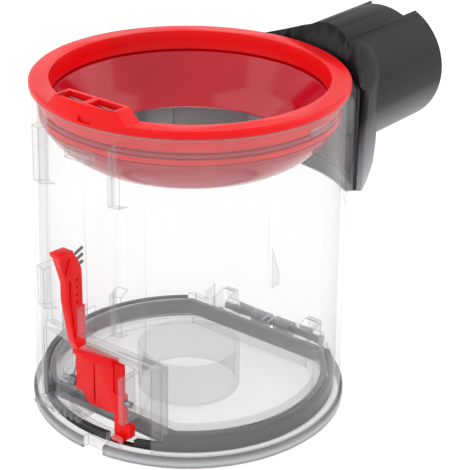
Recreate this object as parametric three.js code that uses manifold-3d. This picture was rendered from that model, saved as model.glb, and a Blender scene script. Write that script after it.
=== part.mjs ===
// Clear dust bin of a handheld vacuum cleaner, standing on its base lid.
//
// Frame: millimetres, +Z up along the bin's axis, z = 0 on the underside of the base lid.
// The release catch and the guide rails are on the -Y side.
// The lid's hinge and the inlet pipe are on the +Y side.
//
// The base lid swings down about the hinge pin.
// The slider is pushed down and turns the catch that holds the lid.

import * as THREE from "three";
import { mergeVertices } from "three/addons/utils/BufferGeometryUtils.js";
import Module from "manifold-3d";

const wasm = await Module();
wasm.setup();

// -------------------------------- driving dimensions, millimetres and degrees
// `in` and `out` are distances inside and outside the collar's rim radius.
// `down` is measured from the collar's top, and `up` from the top of the lid's rim.

const GAP = 0.3; // between pieces that touch
const OVER = 1; // how far joined and cutting shapes run past the face they meet
const ROUND = 60; // sides of the large circles
const SMALL_ROUND = 20; // sides of pins, screws and bosses

const bin = { rimR: 60, height: 133, wall: 2.2, draft: 1.7, rimStep: 0.6 };
const collar = { flange: 2.6, edge: 0.8, skirt: 13.5, skirtWall: 3.7 };
const collarThroat = { in: 7.5, down: 7.4, taper: 0.5, step: 0.4 };
const oring = { grooveDown: 8.8, grooveHigh: 2.8, grooveDeep: 1.7, wire: 0.85 };
const boss = { topHalf: 14.3, baseHalf: 19.5, high: 4.5, deep: 8.8, lean: 1.4, rib: 2.4, wall: 1.5 };
const bossSlot = { x0: -1, x1: 5, up: 0.8, high: 2.2, deep: 1.2 };
const clip = { thick: 0.5, high: 3, bend: 0.6, side: 1.5, back: 1.7, hook: 0.6, toe: 1, slant: 0.2 };
const cone = { wall: 1.8, crease: 12.8, mouth: 19.8, topDown: 8.1, creaseDown: 19.8, mouthDown: 27.6 };
const coneBend = { in: 3.2, down: 4, backOut: 0.8, backDown: 5, elbowOut: 5.4, elbowDown: 0.6 };
const coneBead = { out: 1.4, down: 1, wide: 3.2, back: 0.2 };
const coneSeat = { in: 1.1, down: 2.4 };
const lid = { flange: 2.2, rim: 4.7, plate: 2, panIn: 10, edge: 0.8, foot: 0.2, upstand: 2, upstandHigh: 13 };
const lidChord = { hinge: 19, front: 16.5 }; // from the rim's radius to the straight sides of the upstand
const hub = { r: 20.5, wall: 1.6, high: 19.5 };
const lidNotch = { x0: -1, x1: 9, in: 1.6 }; // in the front of the lid's rim
const seal = { high: 6.5, band: 2.6, bandWide: 2.2, bandGapFrom: 50, bandGapTo: 130 };
const hinge = { in: 3.5, up: 1.3, pinR: 1.5, eyeR: 3.6, knuckleR: 3.4, half: 24.5, knuckle: 6.7, ear: 5.5 };
const hingeArm = { up: 0.6, reach: 8.5 };
const hingeRoom = { side: 0.5, in: 4.5 }; // cut out of the lid round the hinge
const coilRoom = { lid: 0.95, fine: 0.55 }; // from a pin to the coil's wire round it
const pocket = { half: 26, wallIn: 15, roofLow: 13.5, roofHigh: 19.5, thick: 2, chordHigh: 7 };
const recess = { half: 27, in: 11, roofLow: 37.5, roofHigh: 43.5, roofOut: 2, thick: 2, footUp: 4 };
const cheek = { in: 14.6, out: 17, low: 15, high: 34, front: 1.5 };
const shelf = { left: -27, right: -4.5, up: 4.2, thick: 1.5, front: 0.5 };
const comb = { ribs: 5, first: -18, pitch: 3.2, wide: 1.2, deep: 1.8, high: 3.6, front: 0.4, bar: 1 };
const latch = { half: 9.4, front: 4.6, thick: 3.4, low: 16.5, high: 39.8 };
const pivot = { in: 6, z: 22, knuckleR: 2.5 };
const latchCut = { x: -4, z: 25, fall: 1.6, rise: 0.4, groove: 0.9, grooveDown: 4, back: 0.6 };
const latchWing = { out: 13, front: 0.8, low: 24, high: 37 };
const latchLip = { foot: 36, footIn: 0.4, root: 2.5, shoulder: 39.3, under: 41.4, top: 43 };
const lipFront = { out: 4, crest: 2.8, half: 2.4 };
const hook = { x0: 9.7, x1: 14.2, top: 25, footUp: 1.8, toeX: 17.6, toeUp: 3.6, toeHigh: 4.8 };
const hookRoom = { left: 1.7, right: 1.4, up: 1 }; // in the rim gasket, beside the hook
const nose = { x0: 10.8, x1: 15.4, in: 2, high: 1.6, root: 0.5 };
const keeper = { x0: 9.5, x1: 16.7, post: 1, thick: 1.6, barUp: 3.8, bar: 1.3 };
const catchPin = { r: 1, end: 17.3 };
const hingeHead = { rise: 0.8, thick: 0.7, tail: 0.8 };
const blade = { half: 1.5, innerOut: 1, foot: 45, footOut: 5.5, heel: 49, heelOut: 7.3 };
const grip = { out: 10.4, low: 66, high: 73 };
const nib = { out: 14.5, z: 86, padHalf: 2.5, in: 0.6, down: 2, backDown: 2.4 };
const bladeBack = [[7.3, 85.5], [4.2, 81], [2.4, 76.8], [2.2, 73], [2.2, 62]]; // [out, z], downwards
const nibPanel = [[10.4, 76], [12.6, 82.6], [7.8, 82.6]]; // sunk panels, [out, z]
const longPanel = [[9.2, 66], [9.2, 73.6], [8, 73.6], [8, 66], [6.2, 50], [6.9, 50]];
const sunk = { deep: 0.6, pitR: 0.6, pits: 4, pitOut: 5, pitLow: 64, pitPitch: 3 };
const guide = { gap: 0.6, wide: 3.3, out: 6, low: 50.6, high: 62 };
const lug = { wide: 4.1, low: 70.5, thick: 2, from: 1.5, to: 6 };
const returnCoil = { out: 3.6, r: 1.6, clear: 0.65, turns: 5 };
const rail = { angle: 16.2, wide: 4.5, out: 6, root: 1.6, down: 6, long: 24, lowFoot: 53, lowTop: 72 };
const railSlope = { foot: 2, top: 1 };
const pipe = { r: 24.9, bore: 23.2, x: 21.5, down: 15.4, end: 103.6, notch: 9, notchHalf: 10.5 };
const duct = { seatOut: 3.6, seat: 1.6, edge: 0.5, wall: 1.8, roofDown: 5.5, boreIn: 6.5, from: 37, to: 153 };
const saddle = { out: 2, step: 0.3, from: 38, to: 152, lowDown: 52.5, highDown: 6, border: 6 };
const throat = { from: 44.5, to: 136, lowDown: 46.5, highDown: 12.5 };
const corner = { from: 34, to: 54, down: 44 }; // cut off the seat's lower front corner
const port = { from: 105.5, to: 147, lowDown: 49, highDown: 21 };
const hood = { edge: 2, round: 8, side: 20, footShare: 0.45, footStep: 0.4 };
const screw = { r: 1.2, hole: 1.5, headR: 2.2, head: 1.5, tip: 0.8, angle: 149.3, downs: [14, 33] };
const cross = { long: 1.5, half: 0.3, deep: 0.7 }; // in the screw's head
const wireR = { lid: 0.45, fine: 0.35 };
const lidCoil = { from: 1.6, to: 10.4, turns: 6.5, legIn: 7, footIn: 3.4 };
const catchCoil = { side: 0.8, turns: 4, legUp: 8, legIn: 1, footIn: 2.4 };
const gusset = { x: -5.2, thick: 2, top: 42, low: 19, toe: 5, out: 6 };

// -------------------------------- sizes that follow from them

const footZ = lid.rim + 0.5; // lower edge of the clear wall
const wallTopZ = bin.height - collar.flange - GAP;
const topR = bin.rimR - bin.rimStep;
const plugR = topR - bin.wall - 0.5; // collar, where it plugs into the wall
const footR = topR + bin.draft;
const lidR = bin.rimR + lid.flange;
const lidPanR = bin.rimR - lid.panIn;
const sealLow = lid.rim + GAP;
const sealTop = sealLow + seal.high;
const recessFoot = lid.rim + recess.footUp;
const shelfLow = lid.rim + shelf.up;
const hingeZ = lid.rim + hinge.up;
const hookFoot = lid.rim + hook.footUp;
const toeLow = lid.rim + hook.toeUp;
const keeperBar = lid.rim + keeper.barUp;
const sealR = footR - bin.wall - 3.3; // D seal
const standR = sealR - seal.band - 0.5; // lid's upstand
const bandR = footR - bin.wall - 0.5; // rim gasket
const hingeY = bin.rimR - hinge.in;
const chordY = bin.rimR - pocket.wallIn;
const recessY = -(bin.rimR - recess.in);
const recessRoofY = -(bin.rimR + recess.roofOut);
const pivotY = -(bin.rimR - pivot.in);
const latchY = -(bin.rimR - latch.front);
const keeperY = -bin.rimR;
const ductR = bin.rimR + duct.seatOut;
const saddleR = bin.rimR + saddle.out;
const pipeZ = bin.height - pipe.down;
const saddleLow = bin.height - saddle.lowDown;
const saddleHigh = bin.height - saddle.highDown;
const screwHeights = screw.downs.map((down) => bin.height - down);

// -------------------------------- three.js geometry and manifold-3d solids

// A closed geometry as a manifold-3d solid, with its faces turned outwards.
function solid(geometry) {
  const bare = geometry.clone();
  bare.deleteAttribute("normal");
  bare.deleteAttribute("uv");
  const merged = mergeVertices(bare, 1e-4);
  const triVerts = new Uint32Array(merged.index.array);
  const vertProperties = new Float32Array(merged.attributes.position.array);
  if (signedVolume(vertProperties, triVerts) < 0) triVerts.reverse();
  return new wasm.Manifold(new wasm.Mesh({ numProp: 3, vertProperties, triVerts }));
}

function signedVolume(points, triangles) {
  const [a, b, c] = [new THREE.Vector3(), new THREE.Vector3(), new THREE.Vector3()];
  let volume = 0;
  for (let i = 0; i < triangles.length; i += 3) {
    a.fromArray(points, 3 * triangles[i]);
    b.fromArray(points, 3 * triangles[i + 1]);
    c.fromArray(points, 3 * triangles[i + 2]);
    volume += a.dot(b.cross(c)) / 6;
  }
  return volume;
}

function geometryOf(shape) {
  const { vertProperties, triVerts, numProp } = shape.getMesh();
  const positions = new Float32Array(triVerts.length * 3);
  triVerts.forEach((vertex, i) => {
    positions.set(vertProperties.subarray(vertex * numProp, vertex * numProp + 3), 3 * i);
  });
  const geometry = new THREE.BufferGeometry();
  geometry.setAttribute("position", new THREE.BufferAttribute(positions, 3));
  geometry.computeVertexNormals();
  return geometry;
}

const join = (first, ...others) => others.reduce((all, one) => all.add(one), first);
const cut = (first, ...others) => others.reduce((left, one) => left.subtract(one), first);

// Solid of revolution about Z: profile is a closed loop of [radius, z].
function turned(profile, sides = ROUND) {
  const loop = [...profile, profile[0]].map(([r, z]) => new THREE.Vector2(r, z));
  return solid(new THREE.LatheGeometry(loop, sides).rotateX(Math.PI / 2));
}

// Round bar or tapered disc along Z, from z0 to z1.
function disc(r0, z0, z1, r1 = r0, sides = ROUND) {
  const bar = new THREE.CylinderGeometry(r1, r0, z1 - z0, sides, 1);
  return solid(bar.rotateX(Math.PI / 2).translate(0, 0, (z0 + z1) / 2));
}

// Round bar along X, centred on (y, z).
function barX(r, x0, x1, y, z, sides = SMALL_ROUND) {
  const bar = new THREE.CylinderGeometry(r, r, x1 - x0, sides, 1);
  return solid(bar.rotateZ(Math.PI / 2).translate((x0 + x1) / 2, y, z));
}

// Round bar along Y, centred on (x, z).
function barY(r, y0, y1, x, z, sides = 48) {
  const bar = new THREE.CylinderGeometry(r, r, y1 - y0, sides, 1);
  return solid(bar.translate(x, (y0 + y1) / 2, z));
}

function block(x0, x1, y0, y1, z0, z1) {
  const box = new THREE.BoxGeometry(x1 - x0, y1 - y0, z1 - z0);
  return solid(box.translate((x0 + x1) / 2, (y0 + y1) / 2, (z0 + z1) / 2));
}

function outline(points) {
  return new THREE.Shape(points.map(([u, v]) => new THREE.Vector2(u, v)));
}

// Outline in the Y-Z plane, given as [y, z], made thick from x0 to x1.
function slabX(points, x0, x1) {
  const slab = new THREE.ExtrudeGeometry(outline(points), { depth: x1 - x0, bevelEnabled: false });
  const turn = new THREE.Matrix4().set(0, 0, 1, x0, 1, 0, 0, 0, 0, 1, 0, 0, 0, 0, 0, 1);
  return solid(slab.applyMatrix4(turn));
}

// Outline in the X-Z plane, given as [x, z], made thick from y0 to y1.
function slabY(points, y0, y1) {
  const slab = new THREE.ExtrudeGeometry(outline(points), { depth: y1 - y0, bevelEnabled: false });
  const turn = new THREE.Matrix4().set(1, 0, 0, 0, 0, 0, -1, y1, 0, 1, 0, 0, 0, 0, 0, 1);
  return solid(slab.applyMatrix4(turn));
}

const radians = THREE.MathUtils.degToRad;

// Point at an angle about Z, a radius and a height.
function polar(angle, r, z) {
  return [r * Math.cos(radians(angle)), r * Math.sin(radians(angle)), z];
}

// Closed skin over a row of loops that all have the same number of [x, y, z] points.
function loft(loops) {
  const count = loops[0].length;
  const corners = loops.flat();
  const faces = [];
  for (let i = 0; i + 1 < loops.length; i++) {
    for (let j = 0; j < count; j++) {
      const a = i * count + j;
      const b = i * count + ((j + 1) % count);
      faces.push(a, b, b + count, a, b + count, a + count);
    }
  }
  const flat = (loop) => THREE.ShapeUtils.triangulateShape(loop.map(([u, v]) => new THREE.Vector2(u, v)), []);
  const unrolled = (loop) => loop.map(([x, y, z]) => [Math.hypot(x, y), z]);
  for (const [a, b, c] of flat(unrolled(loops[0]))) faces.push(c, b, a);
  const last = (loops.length - 1) * count;
  for (const [a, b, c] of flat(unrolled(loops.at(-1)))) faces.push(last + a, last + b, last + c);
  const geometry = new THREE.BufferGeometry();
  geometry.setAttribute("position", new THREE.Float32BufferAttribute(corners.flat(), 3));
  geometry.setIndex(faces);
  return solid(geometry);
}

// Part of a ring, from angle a0 to a1: loop is its cross-section as [radius, z].
function ringSector(loop, a0, a1) {
  const steps = Math.max(1, Math.round((a1 - a0) / 5));
  const angles = Array.from({ length: steps + 1 }, (_, i) => a0 + ((a1 - a0) * i) / steps);
  return loft(angles.map((angle) => loop.map(([r, z]) => polar(angle, r, z))));
}

const rectangle = (r0, r1, z0, z1) => [[r0, z0], [r1, z0], [r1, z1], [r0, z1]];

// Wire of round section through a list of [x, y, z] points.
function wire(points, r, steps) {
  const path = new THREE.CatmullRomCurve3(points.map((p) => new THREE.Vector3(...p)));
  const section = new THREE.Shape().absarc(0, 0, r, 0, 2 * Math.PI);
  const options = { steps, extrudePath: path, bevelEnabled: false, curveSegments: 3 };
  return solid(new THREE.ExtrudeGeometry(section, options));
}

// Turn a solid about Z, in degrees.
const aboutZ = (shape, angle) => shape.rotate([0, 0, angle]);

// Outline in the X-Y plane, given as [x, y], made thick from z0 to z1.
function slabZ(points, z0, z1) {
  const slab = new THREE.ExtrudeGeometry(outline(points), { depth: z1 - z0, bevelEnabled: false });
  return solid(slab.translate(0, 0, z0));
}

// Coil about X through (y, z), from x0 to x1, with a straight leg at each end.
// It starts at an angle in degrees, measured from +Y, and winds downwards on its +Y side.
function torsionSpring(x0, x1, y, z, coilR, wireRadius, start, turns, legA, legB) {
  const perTurn = 10;
  const count = Math.round(turns * perTurn);
  const coil = Array.from({ length: count + 1 }, (_, i) => {
    const turn = radians(start) - (2 * Math.PI * i) / perTurn;
    return [x0 + ((x1 - x0) * i) / count, y + coilR * Math.cos(turn), z + coilR * Math.sin(turn)];
  });
  return wire([legA, ...coil, legB], wireRadius, count + 8);
}

// Compression coil about Z through (x, y).
function pressSpring(x, y, z0, z1, coilR, wireRadius, turns) {
  const perTurn = 10;
  const count = turns * perTurn;
  const coil = Array.from({ length: count + 1 }, (_, i) => {
    const turn = (2 * Math.PI * i) / perTurn;
    return [x + coilR * Math.cos(turn), y + coilR * Math.sin(turn), z0 + ((z1 - z0) * i) / count];
  });
  return wire(coil, wireRadius, count);
}

// The same shape on both sides of x = 0: make gets -1 and 1, and x0 < x1 are its distances from the middle.
function bothSides(x0, x1, make) {
  return [-1, 1].map((side) => (side < 0 ? make(-x1, -x0) : make(x0, x1)));
}

// Disc with straight sides towards the hinge and the catch.
function dShape(r, yFront, yHinge, z0, z1) {
  return disc(r, z0, z1).intersect(block(-r - 1, r + 1, yFront, yHinge, z0 - 1, z1 + 1));
}

// -------------------------------- clear body

const envelope = () => disc(footR, footZ, wallTopZ, topR);

function wallTube() {
  return turned([
    [footR, footZ],
    [topR, wallTopZ],
    [topR - bin.wall, wallTopZ],
    [footR - bin.wall, footZ],
  ]);
}

function recessLiner() {
  const t = recess.thick;
  const out = -footR - 4 * OVER;
  const profile = [
    [out, recessFoot],
    [recessY + t, recessFoot],
    [recessY + t, recess.roofLow + t],
    [recessRoofY, recess.roofHigh + t],
    [out, recess.roofHigh + t],
  ];
  return slabX(profile, -recess.half - t, recess.half + t).intersect(envelope());
}

function recessHollow() {
  const out = -footR - 5 * OVER;
  const profile = [
    [out, 0],
    [recessY, 0],
    [recessY, recess.roofLow],
    [recessRoofY, recess.roofHigh],
    [out, recess.roofHigh],
  ];
  return slabX(profile, -recess.half, recess.half);
}

function catchCheeks() {
  const plates = bothSides(cheek.in, cheek.out, (x0, x1) =>
    block(x0, x1, -(bin.rimR - cheek.front), recessY + OVER, cheek.low, cheek.high),
  );
  return join(...plates);
}

// Shelf with the comb under the catch's left side.
function combShelf() {
  const top = shelfLow + shelf.thick;
  const ribTop = top + comb.high;
  const front = -(bin.rimR + comb.front);
  const back = front + comb.deep;
  const ribs = Array.from({ length: comb.ribs }, (_, i) => {
    const x = comb.first + i * comb.pitch;
    return block(x, x + comb.wide, front, back, shelfLow, ribTop);
  });
  const last = comb.first + (comb.ribs - 1) * comb.pitch + comb.wide;
  const bar = block(comb.first, last, front, back, ribTop - comb.bar, ribTop);
  const edge = -(bin.rimR - shelf.front);
  const ledge = block(shelf.left - OVER, shelf.right, edge, recessY + OVER, shelfLow, top);
  return join(ledge, ...ribs, bar);
}

function hingeLiner() {
  const t = pocket.thick;
  const out = footR + 4 * OVER;
  const profile = [[chordY, footZ], [chordY, pocket.roofLow + t], [out, pocket.roofHigh + t], [out, footZ]];
  const housing = slabX(profile, -pocket.half - t, pocket.half + t);
  const chord = block(-bin.rimR, bin.rimR, chordY, chordY + t, footZ, footZ + pocket.chordHigh);
  return join(housing, chord).intersect(envelope());
}

function hingeHollow() {
  const out = footR + 5 * OVER;
  const y = chordY + pocket.thick;
  return slabX([[y, 0], [y, pocket.roofLow], [out, pocket.roofHigh], [out, 0]], -pocket.half, pocket.half);
}

function hingeEars() {
  const ears = bothSides(hinge.half - hinge.ear, hinge.half, (x0, x1) => {
    const arm = block(x0, x1, chordY + OVER, hingeY, hingeZ - hingeArm.up, pocket.roofLow + pocket.thick);
    return join(barX(hinge.eyeR, x0, x1, hingeY, hingeZ), arm);
  });
  return join(...ears);
}

function rails() {
  const spans = [
    [bin.height - rail.down - rail.long, bin.height - rail.down],
    [rail.lowFoot, rail.lowTop],
  ];
  const root = -(bin.rimR - rail.root);
  const out = -(bin.rimR + rail.out);
  const shapes = spans.flatMap(([z0, z1]) => {
    const profile = [[root, z0], [out, z0 + railSlope.foot], [out, z1 - railSlope.top], [root, z1]];
    return [-1, 1].map((side) => aboutZ(slabX(profile, -rail.wide / 2, rail.wide / 2), side * rail.angle));
  });
  return join(...shapes);
}

function leverGuides() {
  const x0 = blade.half + guide.gap;
  const walls = bothSides(x0, x0 + guide.wide, (a, b) =>
    block(a, b, -(bin.rimR + guide.out), -(bin.rimR - OVER), guide.low, guide.high),
  );
  return join(...walls);
}

// Fin that stiffens the wall above the hinge.
function gussetFin() {
  const y = bin.rimR - OVER;
  const out = bin.rimR + gusset.out;
  const profile = [[y, gusset.top], [out, gusset.low + gusset.toe], [out, gusset.low], [y, gusset.low]];
  return slabX(profile, gusset.x - gusset.thick / 2, gusset.x + gusset.thick / 2);
}

// Raised frame that the inlet duct is screwed to.
function ductSaddle() {
  const section = rectangle(bin.rimR - 1.5 * OVER, saddleR, saddleLow, saddleHigh);
  const frame = ringSector(section, saddle.from, saddle.to);
  const hole = ringSector(
    rectangle(bin.rimR + saddle.step, saddleR + OVER, saddleLow + saddle.border, saddleHigh - saddle.border),
    saddle.from + saddle.border,
    saddle.to - saddle.border,
  );
  return cut(frame, hole, seatCorner());
}

function screwHoles(r, r0, r1) {
  return join(...screwHeights.map((z) => aboutZ(barY(r, r0, r1, 0, z, SMALL_ROUND), screw.angle - 90)));
}

function binBody() {
  const lined = join(wallTube(), recessLiner(), hingeLiner());
  const shell = join(lined, rails(), leverGuides(), gussetFin(), ductSaddle());
  const inlet = ringSector(
    rectangle(bin.rimR - 8 * OVER, saddleR + OVER, bin.height - port.lowDown, bin.height - port.highDown),
    port.from,
    port.to,
  );
  const pilots = screwHoles(screw.hole, bin.rimR - screw.tip - GAP, ductR);
  const open = cut(shell, recessHollow(), hingeHollow(), inlet, pilots);
  const whole = join(open, catchCheeks(), combShelf(), hingeEars());
  const catchHole = barX(catchPin.r + GAP, -cheek.out - OVER, cheek.out + OVER, pivotY, pivot.z);
  const lidHole = barX(hinge.pinR + GAP, -hinge.half - OVER, hinge.half + OVER, hingeY, hingeZ);
  return cut(whole, catchHole, lidHole);
}

// -------------------------------- collar

function ringBody() {
  const top = bin.height;
  const throatR = bin.rimR - collarThroat.in;
  const grooveTop = top - oring.grooveDown;
  const grooveR = plugR - oring.grooveDeep;
  const skirtR = plugR - collar.skirtWall;
  const skirtZ = top - collar.skirt;
  return turned([
    [bin.rimR, top - collar.flange],
    [bin.rimR, top - collar.edge],
    [bin.rimR - collar.edge, top],
    [throatR, top],
    [throatR - collarThroat.taper, top - collarThroat.down],
    [skirtR, top - collarThroat.down - collarThroat.step],
    [skirtR, skirtZ],
    [plugR, skirtZ],
    [plugR, grooveTop - oring.grooveHigh],
    [grooveR, grooveTop - oring.grooveHigh],
    [grooveR, grooveTop],
    [plugR, grooveTop],
    [plugR, top - collar.flange],
  ]);
}

function bossBody() {
  const z0 = bin.height - OVER;
  const z1 = bin.height + boss.high;
  const front = disc(bin.rimR, z0, z1, bin.rimR - boss.lean);
  const ends = [[-boss.baseHalf, z0], [boss.baseHalf, z0], [boss.topHalf, z1], [-boss.topHalf, z1]];
  return front.intersect(slabY(ends, -bin.rimR - OVER, bossBackY()));
}

const bossBackY = () => -(bin.rimR - boss.lean - boss.deep);

// The two pockets of the raised block, as [x0, x1, y0, y1].
function bossPocket(side) {
  const [x0, x1] = [boss.rib / 2, boss.topHalf - boss.wall];
  const y0 = -(bin.rimR - boss.lean - boss.wall);
  const [a, b] = side < 0 ? [-x1, -x0] : [x0, x1];
  return [a, b, y0, bossBackY() - boss.wall];
}

function collarRing() {
  const over = bin.height + boss.high + OVER;
  const pockets = [-1, 1].map((side) => block(...bossPocket(side), bin.height, over));
  const y = -(bin.rimR - bossSlot.deep);
  const z = bin.height - collar.flange + bossSlot.up;
  const slot = block(bossSlot.x0, bossSlot.x1, y - 3 * OVER, y, z, z + bossSlot.high);
  return cut(join(ringBody(), bossBody()), ...pockets, slot);
}

// Bent leaf that stands in one pocket of the raised block.
function ringClip(side) {
  const [x0, x1, y0, y1] = bossPocket(side);
  const start = x0 + clip.side;
  const end = x1 - clip.side;
  const y = y1 - clip.back;
  const bent = y - clip.bend;
  const path = [[start, y], [(start + end) / 2, bent], [end - clip.hook, bent], [end, y0 + clip.toe]];
  const back = path.map(([px, py]) => [px - clip.slant, py - clip.thick]).reverse();
  return slabZ([...path, ...back], bin.height + GAP, bin.height + GAP + clip.high);
}

function scraperCone() {
  const top = bin.height;
  const skirtR = plugR - collar.skirtWall - GAP;
  const seatZ = top - collar.skirt - GAP;
  const creaseR = bin.rimR - cone.crease;
  const creaseZ = top - cone.creaseDown;
  const mouthR = bin.rimR - cone.mouth;
  const mouthZ = top - cone.mouthDown;
  return turned([
    [skirtR - cone.wall, top - cone.topDown],
    [creaseR, creaseZ],
    [creaseR - coneBend.in, creaseZ - coneBend.down],
    [mouthR, mouthZ],
    [mouthR + coneBead.out, mouthZ - coneBead.down],
    [mouthR + coneBead.wide, mouthZ - coneBead.back],
    [creaseR + coneBend.backOut, creaseZ - coneBend.backDown],
    [creaseR + coneBend.elbowOut, creaseZ - coneBend.elbowDown],
    [plugR - coneSeat.in, seatZ - coneSeat.down],
    [plugR, seatZ],
    [skirtR, seatZ],
    [skirtR, top - cone.topDown],
  ]);
}

function collarSeal() {
  const centreR = plugR - oring.grooveDeep + GAP + oring.wire;
  const centreZ = bin.height - oring.grooveDown - oring.grooveHigh / 2;
  const section = Array.from({ length: 8 }, (_, i) => {
    const turn = (Math.PI * i) / 4;
    return [centreR + oring.wire * Math.cos(turn), centreZ + oring.wire * Math.sin(turn)];
  });
  return turned(section);
}

// -------------------------------- inlet duct

// Stations along the scroll: angle, distance outside the rim, and how far foot and roof lie below the top.
const stations = [
  [42, 6.5, 51, 4],
  [48, 11, 53, 1],
  [54, 15, 54, -3],
  [62, 16.5, 54, -6.5],
  [72, 17, 54, -7.5],
  [84, 16, 54, -5],
  [95, 14, 53.5, -0.5],
  [107, 12, 52.5, 3.5],
  [120, 9.5, 51, 5.5],
  [135, 6.5, 49, 8],
  [146, 4.5, 47, 11],
];

// The stations with a smooth curve drawn through them, in equal steps.
function smoothStations(count) {
  const curve = (pick) => new THREE.CatmullRomCurve3(stations.map(pick), false, "catmullrom");
  const outer = curve(([angle, out, lowDown]) => new THREE.Vector3(angle, out, lowDown));
  const upper = curve(([angle, , , highDown]) => new THREE.Vector3(angle, highDown, 0));
  return Array.from({ length: count + 1 }, (_, i) => {
    const [a, b] = [outer.getPoint(i / count), upper.getPoint(i / count)];
    return [a.x, a.y, a.z, b.y];
  });
}

// Quarter of an ellipse from its start to its end, bulging outwards: the first point runs along the radius.
function quarter([r0, z0], [r1, z1], steps) {
  return Array.from({ length: steps + 1 }, (_, i) => {
    const turn = (Math.PI / 2) * (i / steps);
    return [r0 + (r1 - r0) * Math.sin(turn), z1 + (z0 - z1) * Math.cos(turn)];
  });
}

// The scroll's outside or, with an inset, its hollow.
function scroll(inset) {
  const inner = bin.rimR - hood.edge;
  const loops = smoothStations(30).map(([angle, out, lowDown, highDown]) => {
    const r = bin.rimR + out - inset;
    const low = bin.height - lowDown + inset;
    const roof = bin.height - highDown - inset;
    const high = inset > 0 ? Math.min(roof, bin.height - duct.roofDown) : roof;
    const round = Math.min(hood.round, 0.8 * (r - inner));
    const seatEdge = Math.min(r, ductR + duct.seat + hood.footStep - inset);
    const footOut = Math.max(inner + hood.footShare * (r - inner), seatEdge);
    const section = [
      [inner, low],
      ...quarter([footOut, low], [r, low + hood.side], 4),
      ...quarter([r - round, high], [r, high - hood.round], 4).reverse(),
      [inner, high],
    ];
    return section.map(([sr, z]) => polar(angle, sr, z));
  });
  return loft(loops);
}

// What is cut off the seat's lower front corner, so that the duct's skirt slopes up towards its front edge.
function seatCorner() {
  const steps = 4;
  const loops = Array.from({ length: steps + 1 }, (_, i) => {
    const t = i / steps;
    const z = bin.height - corner.down * (1 - t) - (saddle.lowDown + OVER) * t;
    const angle = corner.from + (corner.to - corner.from) * t;
    const section = rectangle(bin.rimR + saddle.step, 2 * bin.rimR, saddleLow - 10 * OVER, z);
    return section.map(([r, h]) => polar(angle, r, h));
  });
  return loft(loops);
}

function seatPatch() {
  const z0 = saddleLow - duct.edge;
  const z1 = saddleHigh + 2 * duct.edge;
  const patch = ringSector(rectangle(ductR, ductR + duct.seat, z0, z1), duct.from, duct.to);
  const low = bin.height - throat.lowDown;
  const high = bin.height - throat.highDown;
  const window = rectangle(ductR - OVER, ductR + duct.seat + OVER, low, high);
  const hole = ringSector(window, throat.from, throat.to);
  return cut(patch, hole);
}

function inletDuct() {
  const ceiling = bin.height - duct.roofDown;
  const start = bin.rimR / 2;
  const boreY = bin.rimR + duct.boreIn;
  const outside = join(scroll(0), barY(pipe.r, start, pipe.end, pipe.x, pipeZ, ROUND));
  const far = barY(pipe.bore, boreY, pipe.end + OVER, pipe.x, pipeZ, ROUND);
  const below = block(-lidR, lidR, 0, lidR * 2, 0, ceiling);
  const near = barY(pipe.bore, start, boreY + OVER, pipe.x, pipeZ, ROUND).intersect(below);
  const inside = disc(ductR, 0, 2 * bin.height);
  const shell = join(cut(outside, scroll(duct.wall), near, far, inside), seatPatch());
  const holes = screwHoles(screw.hole, ductR - OVER, ductR + duct.seat + 3 * OVER);
  return cut(shell, seatCorner(), mouthNotch(), holes);
}

// Notch in the upper side of the pipe's mouth.
function mouthNotch() {
  const y0 = pipe.end - pipe.notch;
  const [left, right] = [pipe.x - pipe.notchHalf, pipe.x + pipe.notchHalf];
  return block(left, right, y0, pipe.end + OVER, pipeZ + pipe.bore / 2, pipeZ + pipe.r + OVER);
}

function ductGasket() {
  const r1 = ductR - GAP;
  const r0 = saddleR + GAP;
  const frame = ringSector(rectangle(r0, r1, saddleLow, saddleHigh), saddle.from, saddle.to);
  const hole = ringSector(
    rectangle(r0 - OVER, r1 + OVER, saddleLow + saddle.border, saddleHigh - saddle.border),
    saddle.from + saddle.border,
    saddle.to - saddle.border,
  );
  return cut(frame, hole, seatCorner(), screwHoles(screw.hole, r0 - OVER, r1 + OVER));
}

function ductScrew(z) {
  const seatR = ductR + duct.seat + GAP;
  const end = seatR + screw.head;
  const shank = barY(screw.r, bin.rimR - screw.tip, seatR + OVER / 2, 0, z, SMALL_ROUND);
  const head = barY(screw.headR, seatR, end, 0, z, SMALL_ROUND);
  const slot = (halfX, halfZ) => block(-halfX, halfX, end - cross.deep, end + OVER, z - halfZ, z + halfZ);
  const whole = cut(join(shank, head), slot(cross.long, cross.half), slot(cross.half, cross.long));
  return aboutZ(whole, screw.angle - 90);
}

// -------------------------------- base lid

const standFront = () => -(bin.rimR - lidChord.front);
const standHinge = () => bin.rimR - lidChord.hinge;

function lidDisc() {
  const plate = disc(lidR - lid.edge, 0, lid.rim - lid.edge);
  const rim = turned([
    [lidPanR, lid.foot],
    [lidR - lid.edge, 0],
    [lidR, lid.edge],
    [lidR, lid.rim - lid.edge],
    [lidR - lid.edge, lid.rim],
    [lidPanR, lid.rim],
  ]);
  return join(cut(plate, disc(lidPanR + OVER / 2, lid.plate, lid.rim + OVER)), rim);
}

// Clearance under the hinge, so that the lid's edge doesn't meet the wall as it swings.
function hingeNotch() {
  const half = pocket.half + hingeRoom.side;
  return block(-half, half, hingeY - hingeRoom.in, lidR + OVER, -OVER, lid.rim + OVER);
}

function lidArms() {
  const x1 = hinge.half - hinge.ear - GAP;
  const arms = bothSides(x1 - hinge.knuckle, x1, (a, b) => {
    const arm = block(a, b, hingeY - hingeArm.reach, hingeY, hingeZ - hinge.knuckleR, hingeZ);
    return join(barX(hinge.knuckleR, a, b, hingeY, hingeZ), arm);
  });
  return join(...arms);
}

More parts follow.
